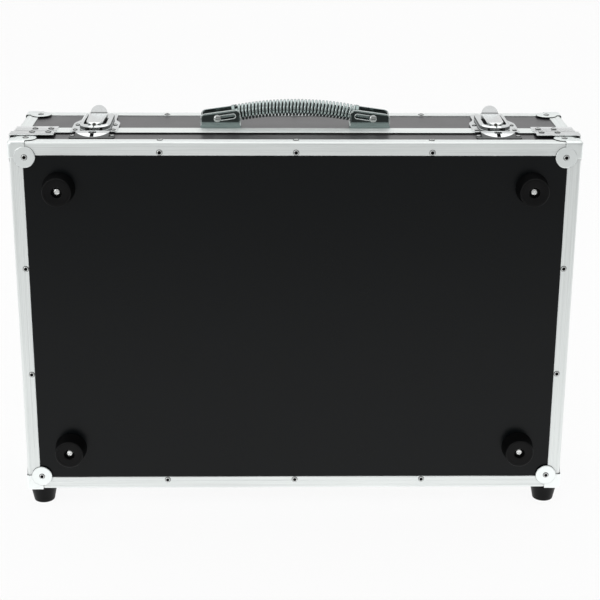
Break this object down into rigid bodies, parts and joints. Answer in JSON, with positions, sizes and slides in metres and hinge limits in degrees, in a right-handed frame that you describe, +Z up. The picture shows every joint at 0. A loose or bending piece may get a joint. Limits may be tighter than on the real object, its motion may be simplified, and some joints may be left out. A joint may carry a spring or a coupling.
{
  "type": "guitar pedal case",
  "caption": "Hard guitar pedal case: a shallow pedal board half and a deep hinged lid in aluminium edging, with key latches, a spring-wrapped handle and rubber feet.",
  "frame": {"origin": "on the floor, under the middle of the whole case standing on its hinge side", "axes": "+X along the case to the right, +Y from the pedal board's underside towards the lid, +Z up"},
  "size_m": [0.6058, 0.165, 0.4491],
  "materials": {
    "laminate_panel": "satin",
    "laminate_wall": "satin",
    "edge_aluminium": "satin",
    "nickel_steel": "polished",
    "rivet_steel": "polished",
    "latch_chrome": "polished",
    "lock_brass": "satin",
    "handle_nickel": "polished",
    "handle_core_rubber": "matte",
    "hinge_steel": "satin",
    "screw_steel": "satin",
    "foot_rubber": "matte",
    "carpet": "matte",
    "foam": "matte"
  },
  "bodies": {
    "base": {"base_panel": "laminate_panel", "base_wall_top": "laminate_wall", "base_wall_bottom": "laminate_wall", "base_wall_left": "laminate_wall", "base_wall_right": "laminate_wall", "base_edge_top": "edge_aluminium", "base_edge_bottom": "edge_aluminium", "base_edge_left": "edge_aluminium", "base_edge_right": "edge_aluminium", "base_post_profiles": "edge_aluminium", "base_tongue_profiles": "edge_aluminium", "base_corner_caps": "nickel_steel", "base_rivets": "rivet_steel", "board_feet": "foot_rubber", "base_foot_screws": "screw_steel", "base_stand_feet": "foot_rubber", "latch_strikes": "latch_chrome", "strike_rivets": "rivet_steel", "hinge_base_leaf_left": "hinge_steel", "hinge_base_leaf_right": "hinge_steel", "hinge_pins": "hinge_steel", "base_carpet": "carpet"},
    "lid": {"lid_panel": "laminate_panel", "lid_wall_top": "laminate_wall", "lid_wall_bottom": "laminate_wall", "lid_wall_left": "laminate_wall", "lid_wall_right": "laminate_wall", "lid_edge_top": "edge_aluminium", "lid_edge_bottom": "edge_aluminium", "lid_edge_left": "edge_aluminium", "lid_edge_right": "edge_aluminium", "lid_post_profiles": "edge_aluminium", "lid_closing_profiles": "edge_aluminium", "lid_corner_caps": "nickel_steel", "lid_corner_braces": "nickel_steel", "lid_rivets": "rivet_steel", "lid_stand_feet": "foot_rubber", "lid_stand_foot_screws": "screw_steel", "latch_plate_left": "latch_chrome", "latch_plate_right": "latch_chrome", "latch_plate_rivets": "rivet_steel", "latch_pivot_pins": "latch_chrome", "handle_bracket_left": "handle_nickel", "handle_bracket_right": "handle_nickel", "handle_bracket_rivets": "rivet_steel", "hinge_lid_leaf_left": "hinge_steel", "hinge_lid_leaf_right": "hinge_steel", "lid_foam": "foam"},
    "lever_left": {"lever_left": "latch_chrome"},
    "lever_right": {"lever_right": "latch_chrome"},
    "claw_left": {"claw_left": "latch_chrome"},
    "claw_right": {"claw_right": "latch_chrome"},
    "key_plug_left": {"key_plug_left": "lock_brass"},
    "key_plug_right": {"key_plug_right": "lock_brass"},
    "handle_grip": {"handle_spring": "handle_nickel", "handle_core": "handle_core_rubber"},
    "handle_end_left": {"handle_pin_left": "handle_nickel", "handle_strap_end_left": "handle_nickel"},
    "handle_end_right": {"handle_pin_right": "handle_nickel", "handle_strap_end_right": "handle_nickel"}
  },
  "joints": [
    {"name": "lid_hinge", "type": "hinge", "parent": "base", "child": "lid", "pos_m": [0, -0.02475, 0.0162], "axis": [-1, 0, 0], "range_deg": [0, 105]},
    {"name": "lever_left_pivot", "type": "hinge", "parent": "lid", "child": "lever_left", "pos_m": [-0.216, -0.00845, 0.4252], "axis": [1, 0, 0], "range_deg": [0, 90]},
    {"name": "claw_left_slide", "type": "slide", "parent": "lid", "child": "claw_left", "axis": [0, -1, 0], "range_m": [0, 0.003]},
    {"name": "key_plug_left_turn", "type": "hinge", "parent": "lever_left", "child": "key_plug_left", "pos_m": [-0.216, -0.00845, 0.4252], "axis": [0, -0.8829, 0.4695], "range_deg": [0, 90]},
    {"name": "lever_right_pivot", "type": "hinge", "parent": "lid", "child": "lever_right", "pos_m": [0.216, -0.00845, 0.4252], "axis": [1, 0, 0], "range_deg": [0, 90]},
    {"name": "claw_right_slide", "type": "slide", "parent": "lid", "child": "claw_right", "axis": [0, -1, 0], "range_m": [0, 0.003]},
    {"name": "key_plug_right_turn", "type": "hinge", "parent": "lever_right", "child": "key_plug_right", "pos_m": [0.216, -0.00845, 0.4252], "axis": [0, -0.8829, 0.4695], "range_deg": [0, 90]},
    {"name": "handle_lift", "type": "slide", "parent": "lid", "child": "handle_grip", "axis": [0, 0, 1], "range_m": [0, 0.03], "deforming": ["handle_spring", "handle_core"]},
    {"name": "handle_end_left_slide", "type": "slide", "parent": "handle_grip", "child": "handle_end_left", "axis": [0.5095, 0, -0.8605], "range_m": [0, 0.0321]},
    {"name": "handle_end_right_slide", "type": "slide", "parent": "handle_grip", "child": "handle_end_right", "axis": [-0.5095, 0, -0.8605], "range_m": [0, 0.0321]}
  ],
  "couplings": [
    {"joint": "claw_left_slide", "follows": "lever_left_pivot", "m_per_rad": 0.0019},
    {"joint": "claw_right_slide", "follows": "lever_right_pivot", "m_per_rad": 0.0019},
    {"joint": "handle_end_left_slide", "follows": "handle_lift", "ratio": 1.0677},
    {"joint": "handle_end_right_slide", "follows": "handle_lift", "ratio": 1.0677}
  ]
}
